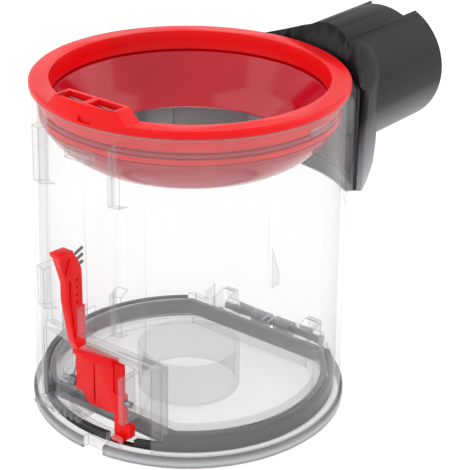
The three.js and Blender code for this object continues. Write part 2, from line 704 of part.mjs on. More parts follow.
// Bracket on the rim that the catch's nose hooks over.
function keeperBracket() {
  const [x0, x1] = [keeper.x0, keeper.x1];
  const back = keeperY + keeper.thick;
  const frame = block(x0, x1, keeperY, back, lid.rim + GAP, keeperBar + keeper.bar);
  const foot = lid.rim + GAP + keeper.bar;
  const window = block(x0 + keeper.post, x1 - keeper.post, keeperY - OVER, back + OVER, foot, keeperBar);
  return cut(frame, window);
}

function baseLid() {
  const frontIn = -(bin.rimR - lidNotch.in);
  const frontNotch = block(lidNotch.x0, lidNotch.x1, -lidR - OVER, frontIn, -OVER, lid.rim + OVER);
  const whole = join(cut(lidDisc(), hingeNotch(), frontNotch), lidArms());
  return cut(whole, barX(hinge.pinR + GAP, -hinge.half, hinge.half, hingeY, hingeZ));
}

// D-shaped wall that stands on the lid inside its seal, stepped over the rim.
function lidUpstand() {
  const t = lid.upstand;
  const low = lid.plate + GAP;
  const outer = dShape(standR, standFront(), standHinge(), low, lid.upstandHigh);
  const inner = dShape(standR - t, standFront() + t, standHinge() - t, low - OVER, lid.upstandHigh + OVER);
  const overRim = turned(rectangle(lidPanR - GAP, lidR, 0, lid.rim + GAP));
  return cut(outer, inner, overRim);
}

// Open tube in the middle of the lid.
function lidHub() {
  return turned(rectangle(hub.r - hub.wall, hub.r, lid.plate + GAP, hub.high));
}

function lidSeal() {
  const w = seal.band;
  const front = standFront() - w - GAP;
  const back = standHinge() + w + GAP;
  const outer = dShape(sealR, front, back, sealLow, sealTop);
  const inner = dShape(sealR - w, front + w, back - w, sealLow - OVER, sealTop + OVER);
  return cut(outer, inner);
}

function rimGasket() {
  const band = turned(rectangle(bandR - seal.bandWide, bandR, sealLow, sealTop));
  const reach = bin.rimR + 5 * OVER;
  const over = sealTop + OVER;
  const hingeGap = ringSector(rectangle(reach / 2, reach, 0, over), seal.bandGapFrom, seal.bandGapTo);
  const half = recess.half + recess.thick + GAP;
  const back = -(bandR - seal.bandWide) / 2;
  const underRecess = block(-half, half, -reach, back, recessFoot - 2 * GAP, over);
  const [hookLeft, hookRight] = [hook.x0 - hookRoom.left, hook.toeX + hookRoom.right];
  const underHook = block(hookLeft, hookRight, -reach, back, lid.rim + hookRoom.up, over);
  return cut(band, hingeGap, underRecess, underHook);
}

function hingePin() {
  const rod = barX(hinge.pinR, -hinge.half - hingeHead.tail, hinge.half + GAP, hingeY, hingeZ);
  const head = barX(
    hinge.pinR + hingeHead.rise,
    hinge.half + GAP,
    hinge.half + GAP + hingeHead.thick,
    hingeY,
    hingeZ,
  );
  return join(rod, head);
}

function lidSpring(side) {
  const coilR = hinge.pinR + coilRoom.lid + wireR.lid;
  const [from, to] = [side * lidCoil.from, side * lidCoil.to];
  const legA = [from, hingeY - lidCoil.legIn, hingeZ + coilR];
  const legB = [to, hingeY - lidCoil.footIn, hingeZ - coilR];
  return torsionSpring(from, to, hingeY, hingeZ, coilR, wireR.lid, 90, lidCoil.turns, legA, legB);
}

// -------------------------------- catch and slider

function lidCatch() {
  const back = latchY + latch.thick - latchCut.back;
  const wingFront = latchY + latchWing.front;
  const wing = block(latch.half - OVER, latchWing.out, wingFront, back, latchWing.low, latchWing.high);
  const root = block(latch.half - OVER, hook.x0 + OVER, latchY, back, latch.low, hook.top);
  const flushFront = block(-lidR, lidR, latchY, 0, 0, bin.height);
  const knuckle = barX(pivot.knuckleR, -latch.half, latch.half, pivotY, pivot.z).intersect(flushFront);
  const hole = barX(catchPin.r + GAP, -latch.half - OVER, hook.toeX, pivotY, pivot.z);
  return cut(join(catchPlate(), wing, root, catchLip(), knuckle, catchHook()), plateGroove(), hole);
}

// The flat plate, whose top slopes with the recess's roof.
function catchPlate() {
  const back = latchY + latch.thick;
  const face = [
    [latchCut.x, latch.low],
    [latch.half, latch.low],
    [latch.half, latch.high],
    [-latch.half, latch.high - latchCut.fall],
    [-latch.half, latchCut.z],
  ];
  const side = [
    [latchY - OVER, 0],
    [back + OVER, 0],
    [back + OVER, latch.high - latchCut.fall - latchCut.rise],
    [back, latch.high - latchCut.fall],
    [latchY, latch.high],
    [latchY - OVER, latch.high + latchCut.rise],
  ];
  return slabY(face, latchY, back).intersect(slabX(side, -latch.half - OVER, latch.half + OVER));
}

function plateGroove() {
  const w = latchCut.groove;
  const top = latch.high - latchCut.grooveDown;
  return slabZ([[-w, latchY - OVER], [w, latchY - OVER], [0, latchY + w]], 0, top);
}

// Lip under the slider's foot: narrow in front, as wide as the plate at its root.
function catchLip() {
  const out = -(bin.rimR + lipFront.out);
  const side = [
    [latchY + latchLip.footIn, latchLip.foot],
    [latchY + latchLip.footIn, latchLip.shoulder],
    [-(bin.rimR + lipFront.crest), latchLip.top],
    [out, latchLip.top],
    [out, latchLip.under],
    [-(bin.rimR - latchLip.root), latchLip.foot],
  ];
  const plan = [
    [-lipFront.half, out],
    [lipFront.half, out],
    [latch.half, latchY - latchWing.front],
    [latch.half, latchY + latch.thick],
    [-latch.half, latchY + latch.thick],
    [-latch.half, latchY - latchWing.front],
  ];
  return slabX(side, -latch.half, latch.half).intersect(slabZ(plan, 0, bin.height));
}

// Leg beside the plate, with its toe and the nose that holds the keeper.
function catchHook() {
  const back = latchY + latch.thick - latchCut.back;
  const root = hook.x1 - OVER;
  const leg = block(hook.x0, hook.x1, latchY, back, hookFoot, hook.top);
  const toe = block(root, hook.toeX, latchY, back, toeLow, toeLow + hook.toeHigh);
  const toeFoot = block(root, nose.x1, latchY, back, hookFoot, toeLow + OVER);
  const tip = -(bin.rimR - nose.in);
  const point = block(nose.x0, nose.x1, tip, latchY + nose.root, hookFoot, hookFoot + nose.high);
  return join(leg, toe, toeFoot, point);
}

function catchRod() {
  return barX(catchPin.r, -catchPin.end, catchPin.end, pivotY, pivot.z);
}

function catchSpring() {
  const coilR = catchPin.r + coilRoom.fine + wireR.fine;
  const [x0, x1] = [-cheek.in + catchCoil.side, -latch.half - 2 * wireR.fine];
  const legA = [x0, recessY - catchCoil.legIn, pivot.z + catchCoil.legUp];
  const legB = [x1, pivotY + catchCoil.footIn, pivot.z - catchCoil.legUp];
  return torsionSpring(x0, x1, pivotY, pivot.z, coilR, wireR.fine, 0, catchCoil.turns, legA, legB);
}

function releaseSlider() {
  const profile = [
    [outFrom(nib.out), nib.z],
    [outFrom(grip.out), grip.high],
    [outFrom(grip.out), grip.low],
    [outFrom(blade.heelOut), blade.heel],
    [outFrom(blade.footOut), blade.foot],
    [outFrom(blade.innerOut), blade.foot],
    [outFrom(blade.innerOut), guide.high - GAP - 0.2],
    ...bladeBack.map(([out, z]) => [outFrom(out), z]).reverse(),
  ];
  const [tipOut, tipZ] = bladeBack[0];
  const pad = [
    [outFrom(nib.out), nib.z],
    [outFrom(nib.out - nib.in), nib.z - nib.down],
    [outFrom(tipOut + GAP), nib.z - nib.backDown],
    [outFrom(tipOut), tipZ],
  ];
  const lugTop = lug.low + lug.thick;
  const spur = block(-blade.half - lug.wide, 0, outFrom(lug.to), outFrom(lug.from), lug.low, lugTop);
  const whole = join(slabX(profile, -blade.half, blade.half), slabX(pad, -nib.padHalf, nib.padHalf), spur);
  return cut(whole, ...sideGrooves());
}

// Y at a distance outside the collar's rim, on the catch's side.
function outFrom(distance) {
  return -(bin.rimR + distance);
}

// Sunk shapes on the blade's +X side.
function sideGrooves() {
  const x0 = blade.half - sunk.deep;
  const placed = (points) => points.map(([out, z]) => [outFrom(out), z]);
  const pits = Array.from({ length: sunk.pits }, (_, i) => {
    const z = sunk.pitLow + i * sunk.pitPitch;
    return barX(sunk.pitR, x0, blade.half + OVER, outFrom(sunk.pitOut), z, 8);
  });
  const upper = slabX(placed(nibPanel), x0, nib.padHalf + OVER);
  const lower = slabX(placed(longPanel), x0, blade.half + OVER);
  return [upper, lower, ...pits];
}

function sliderSpring() {
  const x = -blade.half - GAP - returnCoil.r - wireR.fine;
  const [z0, z1] = [guide.high + returnCoil.clear, lug.low - returnCoil.clear];
  return pressSpring(x, outFrom(returnCoil.out), z0, z1, returnCoil.r, wireR.fine, returnCoil.turns);
}

// -------------------------------- materials and assembly

const finish = {
  clear: { color: "#eef1f3", roughness: 0.06, transparent: true, opacity: 0.35 },
  red: { color: "#f00f0c", roughness: 0.3 },
  softRed: { color: "#c8041e", roughness: 0.35 },
  charcoal: { color: "#34363a", roughness: 0.5 },
  rubber: { color: "#141416", roughness: 0.7 },
  steel: { color: "#b9bcc0", roughness: 0.28, metalness: 1 },
};

function mesh(name, shape, look) {
  const made = new THREE.Mesh(geometryOf(shape), new THREE.MeshStandardMaterial(finish[look]));
  made.name = name;
  return made;
}

function group(...meshes) {
  const made = new THREE.Group();
  made.add(...meshes);
  return made;
}

const bodyGroup = group(
  mesh("bin_body", binBody(), "clear"),
  mesh("hinge_pin", hingePin(), "steel"),
  mesh("lid_spring_left", lidSpring(-1), "steel"),
  mesh("lid_spring_right", lidSpring(1), "steel"),
  mesh("catch_pin", catchRod(), "steel"),
  mesh("catch_spring", catchSpring(), "steel"),
  mesh("slider_spring", sliderSpring(), "steel"),
);
const collarGroup = group(
  mesh("collar_ring", collarRing(), "red"),
  mesh("scraper_cone", scraperCone(), "softRed"),
  mesh("collar_seal", collarSeal(), "softRed"),
  mesh("ring_clip_left", ringClip(-1), "steel"),
  mesh("ring_clip_right", ringClip(1), "steel"),
);
const inletGroup = group(
  mesh("inlet_duct", inletDuct(), "charcoal"),
  mesh("duct_gasket", ductGasket(), "rubber"),
  mesh("duct_screw_upper", ductScrew(screwHeights[0]), "steel"),
  mesh("duct_screw_lower", ductScrew(screwHeights[1]), "steel"),
);
const lidGroup = group(
  mesh("base_lid", baseLid(), "clear"),
  mesh("lid_upstand", lidUpstand(), "clear"),
  mesh("lid_hub", lidHub(), "clear"),
  mesh("lid_keeper", keeperBracket(), "clear"),
  mesh("lid_seal", lidSeal(), "rubber"),
  mesh("rim_gasket", rimGasket(), "rubber"),
);
const catchGroup = group(
  mesh("lid_catch", lidCatch(), "red"),
  mesh("release_slider", releaseSlider(), "red"),
);

export default group(bodyGroup, collarGroup, inletGroup, lidGroup, catchGroup);
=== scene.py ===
import math

import bpy
from mathutils import Matrix, Vector


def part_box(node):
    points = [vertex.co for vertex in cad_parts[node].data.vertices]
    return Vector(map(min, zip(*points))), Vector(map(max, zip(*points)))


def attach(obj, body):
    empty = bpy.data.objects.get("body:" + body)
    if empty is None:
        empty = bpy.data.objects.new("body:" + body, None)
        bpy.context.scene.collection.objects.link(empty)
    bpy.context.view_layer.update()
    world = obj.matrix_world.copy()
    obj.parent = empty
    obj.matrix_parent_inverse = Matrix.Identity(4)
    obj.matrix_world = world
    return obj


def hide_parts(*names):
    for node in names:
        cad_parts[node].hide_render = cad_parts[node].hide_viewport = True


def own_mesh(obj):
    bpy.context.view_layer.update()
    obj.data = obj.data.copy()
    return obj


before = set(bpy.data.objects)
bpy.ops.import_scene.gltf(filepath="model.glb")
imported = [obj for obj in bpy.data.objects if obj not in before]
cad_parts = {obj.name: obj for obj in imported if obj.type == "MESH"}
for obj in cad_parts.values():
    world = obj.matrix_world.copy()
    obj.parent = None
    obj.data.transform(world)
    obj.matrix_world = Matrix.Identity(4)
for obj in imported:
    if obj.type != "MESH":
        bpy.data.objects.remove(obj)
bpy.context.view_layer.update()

bl_info = {
    "name": "Clear Dust Bin",
    "version": (1, 0, 0),
    "blender": (4, 5, 0),
    "location": "View3D > Sidebar > Dust Bin",
    "description": "Finishes the clear dust bin around its fixed CAD frame",
    "category": "Object",
}

MM = 0.001
RIM_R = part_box("collar_ring")[1].x / MM
WALL_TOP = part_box("bin_body")[1].z / MM
LID_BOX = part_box("base_lid")
DUCT_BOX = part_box("inlet_duct")
CATCH_PIN = (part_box("catch_pin")[0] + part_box("catch_pin")[1]) / 2 / MM
SLIDER_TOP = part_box("release_slider")[1].z / MM

# points of a CAD mesh this close are merged, and faces this flat to each other are joined
MERGE_GAP = 0.004 * MM
FLAT_ANGLE = math.radians(0.4)
# edges sharper than this are rounded
SHARP_ANGLE = math.radians(40)
# rounding of pressed steel, and how far in from the rim a moulding on the wall is rooted, in millimetres
HARDWARE_EDGE = 0.1
ROOT_DEPTH = 1.1
# the lid's outer edge, with painted bands of light and shade that fade in from the first depth to the second
LID_RIM_HEIGHT = 4.7 * MM
PAINTED_RIM_DEPTHS = (2.2 * MM, 1.0 * MM)
# heights above the duct's foot where the painted light on its skirt is weakest and strongest
SKIRT_DARK = 36 * MM
SKIRT_PALE = 4 * MM
FLOOR_GAP = 0.02 * MM
CAMERA_PLACE = (0.36149, -0.43852, 0.33078)
CAMERA_AHEAD = (-0.55513, 0.71764, -0.42050)
CAMERA_RIGHT = (0.78594, 0.61806, 0.01724)
CAMERA_LENS = 123.64
LIGHT_TARGET = (0, 0, 0.07)


# ---------------------------------------------------------------- small tools


def linear(code):
    """An sRGB hex colour as linear red, green, blue and alpha."""
    parts = [int(code[i : i + 2], 16) / 255 for i in (1, 3, 5)]
    return [p / 12.92 if p <= 0.04045 else ((p + 0.055) / 1.055) ** 2.4 for p in parts] + [1.0]


def add_node(tree, kind, settings=None, **inputs):
    """Adds a node. Settings are its own properties; inputs are socket values, or sockets to link from."""
    made = tree.nodes.new(kind)
    for key, value in (settings or {}).items():
        setattr(made, key, value)
    for key, value in inputs.items():
        socket = made.inputs[key.replace("_", " ")]
        if isinstance(value, bpy.types.NodeSocket):
            tree.links.new(value, socket)
        else:
            socket.default_value = value
    return made


def new_material(name):
    """An empty node material with its output, and its Object coordinates."""
    material = bpy.data.materials.new(name)
    material.use_nodes = True
    tree = material.node_tree
    tree.nodes.clear()
    output = add_node(tree, "ShaderNodeOutputMaterial")
    coords = add_node(tree, "ShaderNodeTexCoord")
    return material, tree, output, coords.outputs["Object"]


def deselect():
    if bpy.context.object and bpy.context.object.mode != "OBJECT":
        bpy.ops.object.mode_set(mode="OBJECT")
    bpy.ops.object.select_all(action="DESELECT")


def select_only(piece):
    deselect()
    piece.select_set(True)
    bpy.context.view_layer.objects.active = piece


def select_faces(piece, test):
    """In edit mode afterwards, with only the faces that pass the test selected."""
    bpy.ops.object.mode_set(mode="EDIT")
    bpy.ops.mesh.select_mode(type="FACE")
    bpy.ops.mesh.select_all(action="DESELECT")
    bpy.ops.object.mode_set(mode="OBJECT")
    for face in piece.data.polygons:
        face.select = test(face)
    bpy.ops.object.mode_set(mode="EDIT")


def add_modifier(piece, kind, **settings):
    """Adds a modifier and applies it."""
    modifier = piece.modifiers.new(kind.title(), kind)
    for key, value in settings.items():
        setattr(modifier, key, value)
    bpy.ops.object.modifier_apply(modifier=modifier.name)


def settle(piece, name, body, material, angle=35):
    """Puts the piece's place in its mesh, smooths it, and ties it to its body, slot and material."""
    select_only(piece)
    bpy.ops.object.transform_apply(location=True, rotation=True, scale=True)
    bpy.ops.object.shade_smooth_by_angle(angle=math.radians(angle))
    piece.name = name
    piece.data.materials.clear()
    piece.data.materials.append(material)
    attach(piece, body)
    return piece


def smooth_copy(node, name, body, material, bevel=0.0, angle=35, flatten=True):
    """A merged, smoothly shaded copy of a CAD node, with softened edges, that stands for it."""
    piece = bpy.data.objects.new(name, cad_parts[node].data.copy())
    bpy.context.scene.collection.objects.link(piece)
    select_only(piece)
    bpy.ops.object.mode_set(mode="EDIT")
    bpy.ops.mesh.select_all(action="SELECT")
    bpy.ops.mesh.remove_doubles(threshold=MERGE_GAP)
    if flatten:
        bpy.ops.mesh.dissolve_limited(angle_limit=FLAT_ANGLE)
    bpy.ops.object.mode_set(mode="OBJECT")
    if bevel:
        add_modifier(
            piece, "BEVEL", width=bevel * MM, segments=2, limit_method="ANGLE", angle_limit=SHARP_ANGLE
        )
    settle(piece, name, body, material, angle)
    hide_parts(node)
    return piece


def block(low, high, bevel=0.2, tilt=0):
    """A box between two corners in millimetres, tilted by degrees about its own Y, with rounded edges."""
    low, high = Vector(low) * MM, Vector(high) * MM
    turn = (0, math.radians(tilt), 0)
    deselect()
    bpy.ops.mesh.primitive_cube_add(size=1, location=(low + high) / 2, rotation=turn, scale=high - low)
    piece = bpy.context.object
    bpy.ops.object.transform_apply(location=True, rotation=True, scale=True)
    add_modifier(piece, "BEVEL", width=bevel * MM, segments=2)
    return piece


def turn_about_z(piece, degrees):
    """Turns a piece about the bin's axis."""
    piece.matrix_world = Matrix.Rotation(math.radians(degrees), 4, "Z") @ piece.matrix_world
    bpy.context.view_layer.update()


# ---------------------------------------------------------------- sizes and colours a user may change


def colour_property(name, description, default):
    """A colour that a user may change, as an sRGB hex value."""
    return bpy.props.StringProperty(name=name, description=description, default=default)


class BinColours(bpy.types.PropertyGroup):
    """Colours of the dust bin's plastics, as sRGB hex values."""

    red: colour_property("Red", "Collar and catch plastic", "#DE0409")
    cone: colour_property("Scraper", "Soft scraper inside the collar", "#B00820")
    duct: colour_property("Duct", "Inlet duct plastic", "#121315")
    rubber: colour_property("Rubber", "Lid seals and gaskets", "#151517")
    # painted light: the pale grey painted on the duct's skirt towards its foot
    skirt: colour_property("Duct skirt", "Duct where light shines through it", "#A2A4A7")
    # partly painted reflection: the lip's black rubber is lifted to dark grey
    lip: colour_property("Lip seal", "Glossy seal on the base lid", "#34363A")
    clear: colour_property("Clear", "Face of the clear plastic", "#D6D8DA")
    # painted shade: the dark grey painted on the clear plastic's edges and grazing faces
    edge: colour_property("Clear edge", "Edges of the clear plastic", "#4A4D50")
    floor: colour_property("Floor", "Studio floor", "#A0A0A0")


class BinSizes(bpy.types.PropertyGroup):
    """Sizes of the small mouldings and finishes."""

    edge: bpy.props.FloatProperty(
        name="Edge", description="Rounding of moulded edges, in millimetres", default=0.25, min=0.05, max=0.6
    )
    bead: bpy.props.FloatProperty(
        name="Bead",
        description="Radius of the bead at the wall's top, in millimetres",
        default=0.35,
        min=0.1,
        max=0.8,
    )
    table: bpy.props.FloatProperty(
        name="Table", description="Glow of the light table", default=0.75, min=0, max=2
    )
    light: bpy.props.FloatProperty(
        name="Light", description="Strength of the studio sky", default=1.1, min=0.2, max=3
    )


# ---------------------------------------------------------------- materials


def math_node(tree, operation, first, second):
    """The result of a calculation with two values or sockets."""
    made = add_node(tree, "ShaderNodeMath", {"operation": operation})
    for socket, value in zip(made.inputs, (first, second)):
        if isinstance(value, bpy.types.NodeSocket):
            tree.links.new(value, socket)
        else:
            socket.default_value = value
    return made.outputs[0]


def ramp_node(tree, factor, stops):
    """A colour ramp through (position, hex colour) stops."""
    ramp = add_node(tree, "ShaderNodeValToRGB", Fac=factor)
    elements = ramp.color_ramp.elements
    while len(elements) < len(stops):
        elements.new(0.5)
    for element, (position, code) in zip(elements, stops):
        element.position = position
        element.color = linear(code)
    return ramp.outputs["Color"]


def edge_shade_mask(tree):
    """1 within about half a millimetre of an edge and 0 elsewhere: where dark shade is painted on clear
    plastic, standing in for the light it bends there.
    """
    rounded = add_node(tree, "ShaderNodeBevel", {"samples": 4}, Radius=0.45 * MM)
    flat = add_node(tree, "ShaderNodeNewGeometry")
    turn = add_node(tree, "ShaderNodeVectorMath", {"operation": "DOT_PRODUCT"})
    tree.links.new(rounded.outputs["Normal"], turn.inputs[0])
    tree.links.new(flat.outputs["Normal"], turn.inputs[1])
    mask = add_node(tree, "ShaderNodeMapRange", Value=turn.outputs["Value"], From_Min=0.995, From_Max=0.9)
    return mask.outputs["Result"]


def clear_plastic(name, rim):
    """Clear plastic: light passes straight through a thin wall, and dark grey shade is painted on its edges
    and grazing faces.

    With a rim, the outer edge of a disc about Z gets painted bands of light and shade.
    """
    material, tree, output, place = new_material(name)
    colours = bpy.context.scene.bin_colours
    # melt ripple, about 25 mm from crest to crest
    ripple = add_node(tree, "ShaderNodeTexNoise", Vector=place, Scale=40.0, Detail=1.0)
    # fine handling haze, about 1.5 mm across
    haze = add_node(tree, "ShaderNodeTexNoise", Vector=place, Scale=650.0, Detail=2.0)
    rough = add_node(tree, "ShaderNodeMapRange", Value=haze.outputs["Fac"], To_Min=0.02, To_Max=0.08)
    bump = add_node(tree, "ShaderNodeBump", Height=ripple.outputs["Fac"], Strength=0.12, Distance=0.0004)
    # painted shade: grazing faces and edges are mixed towards the dark edge colour
    facing = add_node(tree, "ShaderNodeLayerWeight", Blend=0.5).outputs["Facing"]
    grazing_shade = math_node(tree, "POWER", facing, 5.0)
    edge_shade = math_node(tree, "MULTIPLY", edge_shade_mask(tree), 0.8)
    depth = math_node(tree, "MAXIMUM", math_node(tree, "MULTIPLY", grazing_shade, 0.5), edge_shade)
    face = add_node(tree, "ShaderNodeMix", {"data_type": "RGBA"})
    tree.links.new(math_node(tree, "MULTIPLY", depth, 1.5), face.inputs["Factor"])
    face.inputs[6].default_value = linear(colours.clear)
    face.inputs[7].default_value = linear(colours.edge)
    colour = face.outputs[2]
    if rim:
        colour, depth = painted_rim_bands(tree, place, colour, depth)
    shader = add_node(
        tree,
        "ShaderNodeBsdfPrincipled",
        Base_Color=colour,
        Roughness=rough.outputs["Result"],
        IOR=1.5,
        Normal=bump.outputs["Normal"],
    )
    through = add_node(tree, "ShaderNodeBsdfTransparent", Color=linear("#FDFDFD"))
    share = add_node(tree, "ShaderNodeMapRange", Value=depth, To_Min=0.08, To_Max=0.95)
    # shadows of clear plastic are faint
    lit = math_node(tree, "SUBTRACT", 1.0, add_node(tree, "ShaderNodeLightPath").outputs["Is Shadow Ray"])
    mix = add_node(tree, "ShaderNodeMixShader", Fac=math_node(tree, "MULTIPLY", share.outputs["Result"], lit))
    tree.links.new(through.outputs[0], mix.inputs[1])
    tree.links.new(shader.outputs[0], mix.inputs[2])
    tree.links.new(mix.outputs[0], output.inputs["Surface"])
    return material


def painted_rim_bands(tree, place, colour, depth):
    """Painted light and shade: bands of grey up the outer edge of the lid, and how solid they look."""
    flat = add_node(tree, "ShaderNodeVectorMath", {"operation": "MULTIPLY"})
    tree.links.new(place, flat.inputs[0])
    flat.inputs[1].default_value = (1.0, 1.0, 0.0)
    radius = add_node(tree, "ShaderNodeVectorMath", {"operation": "LENGTH"})
    tree.links.new(flat.outputs["Vector"], radius.inputs[0])
    outer = LID_BOX[1].x
    mask = add_node(
        tree,
        "ShaderNodeMapRange",
        Value=radius.outputs["Value"],
        From_Min=outer - PAINTED_RIM_DEPTHS[0],
        From_Max=outer - PAINTED_RIM_DEPTHS[1],
    ).outputs["Result"]
    height = add_node(tree, "ShaderNodeSeparateXYZ", Vector=place).outputs["Z"]
    level = add_node(
        tree, "ShaderNodeMapRange", Value=height, From_Min=0.0, From_Max=LID_RIM_HEIGHT
    ).outputs["Result"]
    # painted light and shade: dark, grey, pale, grey and dark bands from the lid's foot to the top of its rim
    painted_bands = [(0.0, "#1D1E20"), (0.12, "#5E6063"), (0.45, "#A8ABAD"), (0.75, "#77797B"), (0.95, "#2B2C2E")]
    mixed = add_node(tree, "ShaderNodeMix", {"data_type": "RGBA"})
    tree.links.new(mask, mixed.inputs["Factor"])
    tree.links.new(colour, mixed.inputs[6])
    tree.links.new(ramp_node(tree, level, painted_bands), mixed.inputs[7])
    return mixed.outputs[2], math_node(tree, "MAXIMUM", depth, math_node(tree, "MULTIPLY", mask, 0.85))


def clear_polycarbonate():
    """Injection-moulded clear polycarbonate from a polished mould."""
    return clear_plastic("clear_moulded_polycarbonate", False)


def clear_lid_polycarbonate():
    """The lid's clear polycarbonate: thicker, with bands of light and shade painted on its rim."""
    return clear_plastic("clear_polycarbonate_painted_rim", True)


def moulded_plastic(name, colour, low, high, grain, depth, vary=0.06, coat=0.0, shine=0.5):
    """Opaque moulded plastic: mould texture at a grain in millimetres, slow colour drift and uneven gloss."""
    material, tree, output, place = new_material(name)
    base = linear(colour)
    # slow drift of pigment, about 30 mm across
    drift = add_node(tree, "ShaderNodeTexNoise", Vector=place, Scale=33.0, Detail=2.0)
    paler = [min(1.0, c * (1 + vary)) for c in base[:3]] + [1.0]
    deeper = [c * (1 - vary) for c in base[:3]] + [1.0]
    ramp = add_node(tree, "ShaderNodeValToRGB", Fac=drift.outputs["Fac"])
    ramp.color_ramp.elements[0].position = 0.35
    ramp.color_ramp.elements[0].color = deeper
    ramp.color_ramp.elements[1].position = 0.65
    ramp.color_ramp.elements[1].color = paler
    texture = add_node(tree, "ShaderNodeTexNoise", Vector=place, Scale=1000.0 / grain, Detail=3.0)
    gloss = add_node(tree, "ShaderNodeMapRange", Value=texture.outputs["Fac"], To_Min=low, To_Max=high)
    bump = add_node(tree, "ShaderNodeBump", Height=texture.outputs["Fac"], Strength=0.25, Distance=depth * MM)
    shader = add_node(
        tree,
        "ShaderNodeBsdfPrincipled",
        Base_Color=ramp.outputs["Color"],
        Roughness=gloss.outputs["Result"],
        IOR=1.5,
        Normal=bump.outputs["Normal"],
    )
    shader.inputs["Specular IOR Level"].default_value = shine
    shader.inputs["Coat Weight"].default_value = coat
    shader.inputs["Coat Roughness"].default_value = 0.08
    tree.links.new(shader.outputs[0], output.inputs["Surface"])
    return material


def red_abs():
    """Moulded ABS from a polished tool: clean red with a soft even gloss."""
    colour = bpy.context.scene.bin_colours.red
    return moulded_plastic("red_moulded_abs", colour, 0.3, 0.4, 0.8, 0.02, shine=0.2)


def red_elastomer():
    """Moulded thermoplastic elastomer: deeper red, smoother and shinier than the collar."""
    colour = bpy.context.scene.bin_colours.cone
    return moulded_plastic("soft_red_elastomer", colour, 0.1, 0.16, 1.5, 0.005, shine=0.4)


def charcoal_abs():
    """ABS from a spark-eroded tool: dark grey with a fine satin grain, drawn at 0.7 mm so that it shows.

    The hood is thinner than the pipe; its skirt is painted paler towards the duct's foot, as painted light.
    """
    colours = bpy.context.scene.bin_colours
    material = moulded_plastic("charcoal_satin_abs", colours.duct, 0.42, 0.56, 0.7, 0.05, 0.1, shine=0.25)
    tree = material.node_tree
    shader = next(node for node in tree.nodes if node.type == "BSDF_PRINCIPLED")
    place = next(node for node in tree.nodes if node.type == "TEX_COORD").outputs["Object"]
    height = add_node(tree, "ShaderNodeSeparateXYZ", Vector=place).outputs["Z"]
    low = DUCT_BOX[0].z
    # painted light: the duct is painted paler from SKIRT_DARK down to SKIRT_PALE above its foot
    skirt = add_node(
        tree, "ShaderNodeMapRange", Value=height, From_Min=low + SKIRT_DARK, From_Max=low + SKIRT_PALE
    )
    painted_skirt_light = add_node(tree, "ShaderNodeMix", {"data_type": "RGBA"})
    tree.links.new(skirt.outputs["Result"], painted_skirt_light.inputs["Factor"])
    tree.links.new(shader.inputs["Base Color"].links[0].from_socket, painted_skirt_light.inputs[6])
    painted_skirt_light.inputs[7].default_value = linear(colours.skirt)
    tree.links.new(painted_skirt_light.outputs[2], shader.inputs["Base Color"])
    return material


def black_rubber():
    """Moulded EPDM rubber: black, smooth where it presses on the wall."""
    colour = bpy.context.scene.bin_colours.rubber
    return moulded_plastic("black_moulded_epdm", colour, 0.3, 0.5, 1.2, 0.03, 0.15)


def glossy_lip_rubber():
    """Moulded silicone lip: glossy, so that it mirrors the bin's wall; its black is lifted to dark grey as
    painted reflection.
    """
    colour = bpy.context.scene.bin_colours.lip
    return moulded_plastic("glossy_silicone_lip", colour, 0.1, 0.22, 1.2, 0.01, coat=0.6)


def grey_ink():
    """Pad-printed ink: matt mid grey, with the screen's fine grain."""
    return moulded_plastic("pad_printed_grey_ink", "#66696C", 0.5, 0.65, 0.3, 0.01)


def spring_steel():
    """Drawn stainless spring wire and pins: bright, with fine draw lines along X."""
    material, tree, output, place = new_material("drawn_stainless_wire")
    stretched = add_node(tree, "ShaderNodeMapping", Vector=place, Scale=(60.0, 2500.0, 2500.0))
    lines = add_node(tree, "ShaderNodeTexNoise", Vector=stretched.outputs["Vector"], Scale=1.0, Detail=2.0)
    rough = add_node(tree, "ShaderNodeMapRange", Value=lines.outputs["Fac"], To_Min=0.16, To_Max=0.34)
    bump = add_node(tree, "ShaderNodeBump", Height=lines.outputs["Fac"], Strength=0.2, Distance=0.00002)
    shader = add_node(
        tree,
        "ShaderNodeBsdfPrincipled",
        Base_Color=linear("#96999C"),
        Metallic=1.0,
        Roughness=rough.outputs["Result"],
        Normal=bump.outputs["Normal"],
    )
    tree.links.new(shader.outputs[0], output.inputs["Surface"])
    return material


def pale_floor():
    """Matt white acrylic of a light table, lit from below, with a barely visible texture at 2 mm."""
    material, tree, output, place = new_material("matt_lit_acrylic")
    fibre = add_node(tree, "ShaderNodeTexNoise", Vector=place, Scale=500.0, Detail=2.0)
    bump = add_node(tree, "ShaderNodeBump", Height=fibre.outputs["Fac"], Strength=0.03, Distance=0.0001)
    shader = add_node(
        tree,
        "ShaderNodeBsdfPrincipled",
        Base_Color=linear(bpy.context.scene.bin_colours.floor),
        Roughness=0.8,
        Normal=bump.outputs["Normal"],
    )
    shader.inputs["Specular IOR Level"].default_value = 0.1
    shader.inputs["Emission Color"].default_value = (1, 1, 1, 1)
    shader.inputs["Emission Strength"].default_value = bpy.context.scene.bin_sizes.table
    tree.links.new(shader.outputs[0], output.inputs["Surface"])
    return material


FINISHES = {
    "clear": clear_polycarbonate,
    "clear_lid": clear_lid_polycarbonate,
    "red": red_abs,
    "cone": red_elastomer,
    "duct": charcoal_abs,
    "rubber": black_rubber,
    "lip": glossy_lip_rubber,
    "ink": grey_ink,
    "steel": spring_steel,
    "floor": pale_floor,
}
MADE = {}


def finish(key):
    """The material for a finish, made once."""
    if key not in MADE:
        MADE[key] = FINISHES[key]()
    return MADE[key]


# ---------------------------------------------------------------- operators


